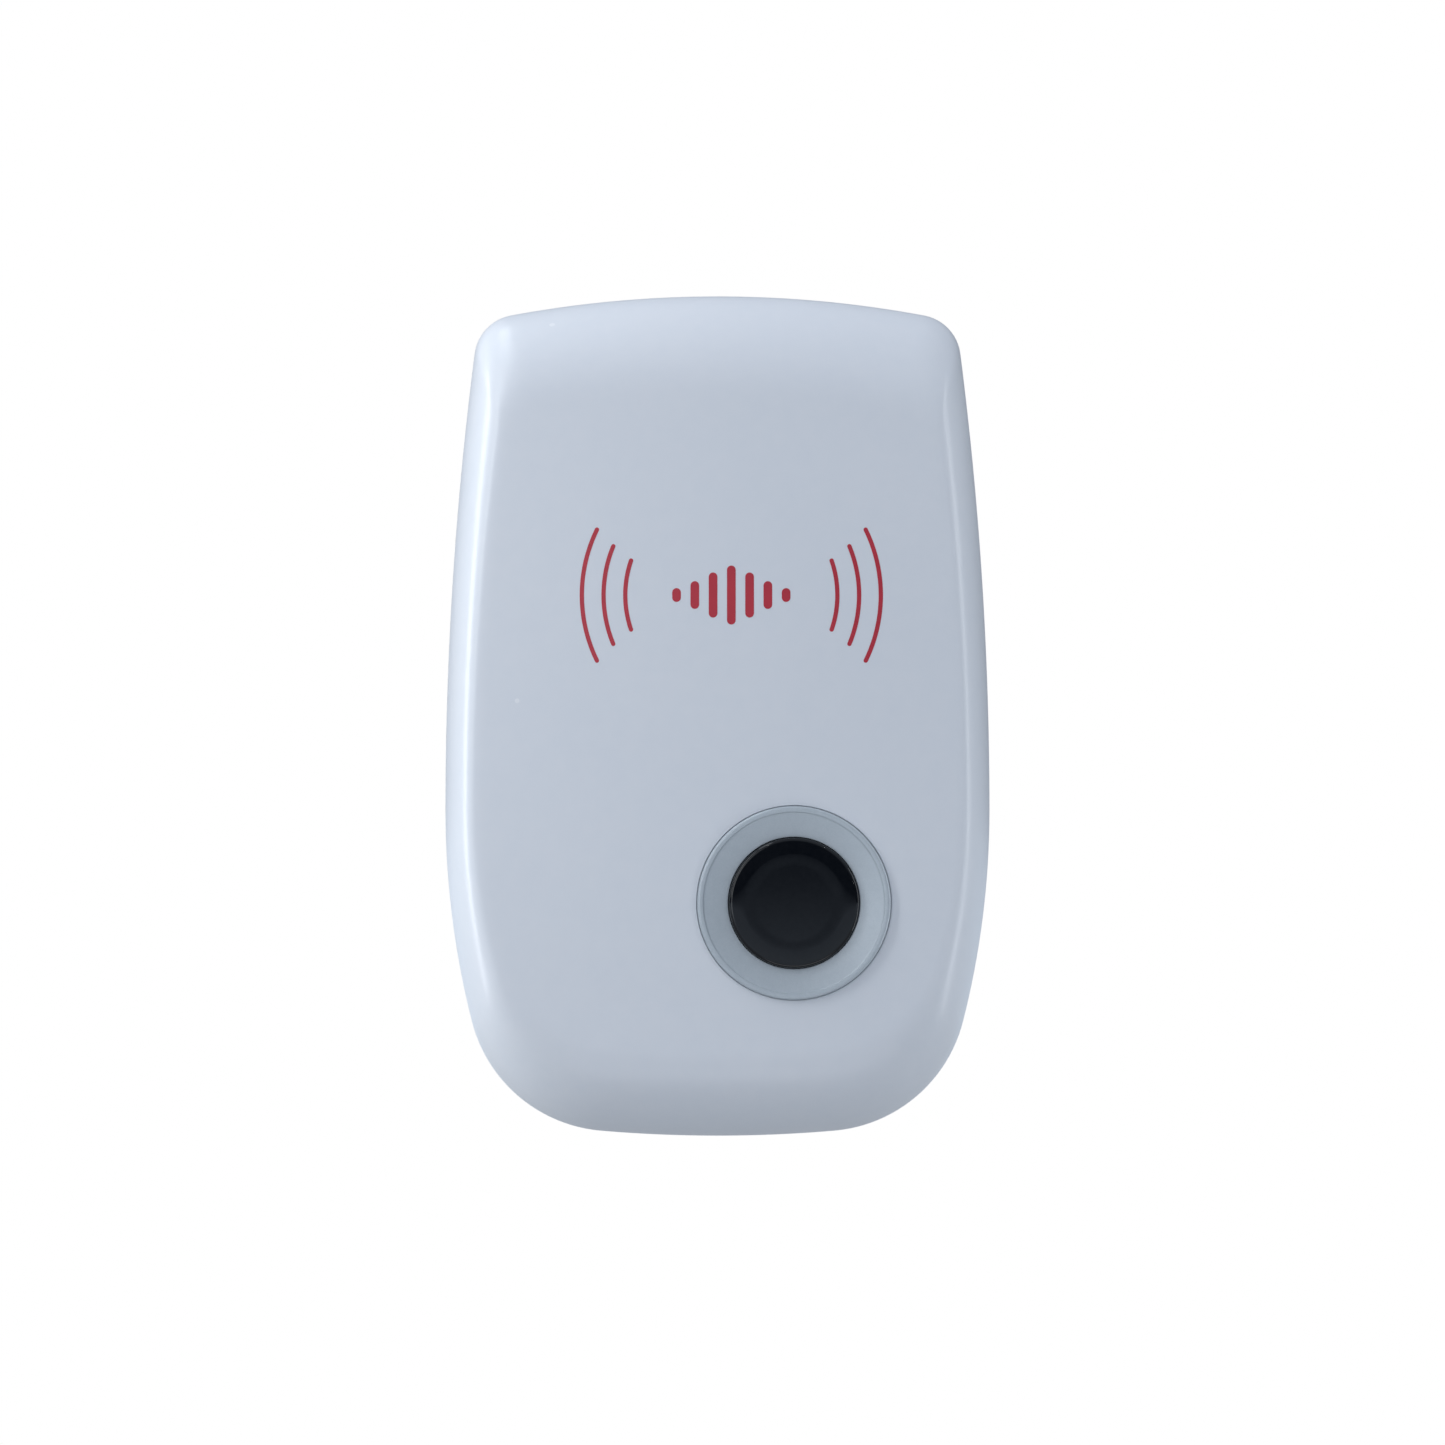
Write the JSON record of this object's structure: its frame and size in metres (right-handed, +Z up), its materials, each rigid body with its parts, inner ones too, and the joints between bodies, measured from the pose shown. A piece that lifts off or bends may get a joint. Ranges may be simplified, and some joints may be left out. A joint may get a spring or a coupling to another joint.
{
  "type": "ultrasonic pest repeller",
  "caption": "Plug-in ultrasonic pest repeller: white rounded two-part case on a two-pin mains plug, black push button in a silver ring, sound slots in the foot.",
  "frame": {"origin": "on the plug face, midway between the two pins", "axes": "+Y runs along the pins into the wall socket, so the front faces -Y; +Z is up; +X is to the right seen from the front"},
  "size_m": [0.0636, 0.0639, 0.098],
  "materials": {
    "case_white": "smooth satin-gloss moulded white plastic with a cool tint",
    "plate_white": "fine-textured moulded white plastic",
    "pin_brass": "nickel-plated brass, fine turned",
    "sleeve_black": "black insulating plastic",
    "label_silver": "blank satin silver film label",
    "screw_zinc": "zinc-plated steel",
    "ring_silver": "satin silver lacquer on a moulded ring",
    "cap_black": "polished black plastic, mirror gloss",
    "plunger_ivory": "ivory nylon",
    "spring_steel": "drawn steel wire",
    "switch_black": "glass-filled black plastic",
    "tinned_metal": "tinned metal",
    "board_green": "green solder mask with copper tracks and tinned pads",
    "capacitor_yellow": "moulded yellow box",
    "resistor_green": "lacquered body with colour bands",
    "resistor_tan": "lacquered body with colour bands",
    "resistor_blue": "lacquered body with colour bands",
    "diode_black": "moulded black body with a silver band",
    "capacitor_blue": "dark blue sleeve with a pale stripe",
    "capacitor_black": "black sleeve with a gold stripe",
    "ferrite": "dark grey sintered ferrite",
    "copper_wire": "enamelled copper wire",
    "chip_black": "moulded black epoxy",
    "led_red": "tinted clear epoxy",
    "can_aluminium": "drawn aluminium",
    "piezo_brass": "brass disc with a pale ceramic face",
    "base_phenolic": "brown phenolic",
    "grommet_rubber": "soft black rubber",
    "wire_brown": "brown PVC",
    "wire_blue": "blue PVC",
    "wire_red": "red PVC",
    "wire_black": "black PVC",
    "print_red": "thin red pad print"
  },
  "bodies": {
    "housing": {"front_cover": "case_white", "rear_cover": "case_white", "plug_body": "case_white", "plug_plate": "plate_white", "plug_pin_left": "pin_brass", "plug_pin_right": "pin_brass", "pin_sleeve_left": "sleeve_black", "pin_sleeve_right": "sleeve_black", "rating_label": "label_silver", "case_screws": "screw_zinc", "bezel_ring": "ring_silver", "switch_spring": "spring_steel", "switch_housing": "switch_black", "switch_terminals": "tinned_metal", "circuit_board": "board_green", "board_screws": "screw_zinc", "mains_capacitor": "capacitor_yellow", "fuse_resistor": "resistor_green", "bleed_resistor": "resistor_tan", "rectifier_diodes": "diode_black", "smoothing_capacitor": "capacitor_blue", "filter_capacitor": "capacitor_black", "coil_core": "ferrite", "coil_winding": "copper_wire", "controller_chip": "chip_black", "driver_transistor": "chip_black", "bias_resistors": "resistor_blue", "indicator_led": "led_red", "transducer_case": "can_aluminium", "transducer_mesh": "can_aluminium", "transducer_cone": "can_aluminium", "transducer_disc": "piezo_brass", "transducer_base": "base_phenolic", "transducer_grommet": "grommet_rubber", "mains_wire_live": "wire_brown", "mains_wire_neutral": "wire_blue", "transducer_wire_a": "wire_red", "transducer_wire_b": "wire_black"},
    "button": {"button_cap": "cap_black", "switch_plunger": "plunger_ivory"}
  },
  "joints": [
    {"name": "button_press", "type": "slide", "parent": "housing", "child": "button", "axis": [0, 1, 0], "range_m": [0, 0.0016], "stiffness_N_per_m": 800, "springref_m": -0.001, "deforming": ["switch_spring"]}
  ]
}
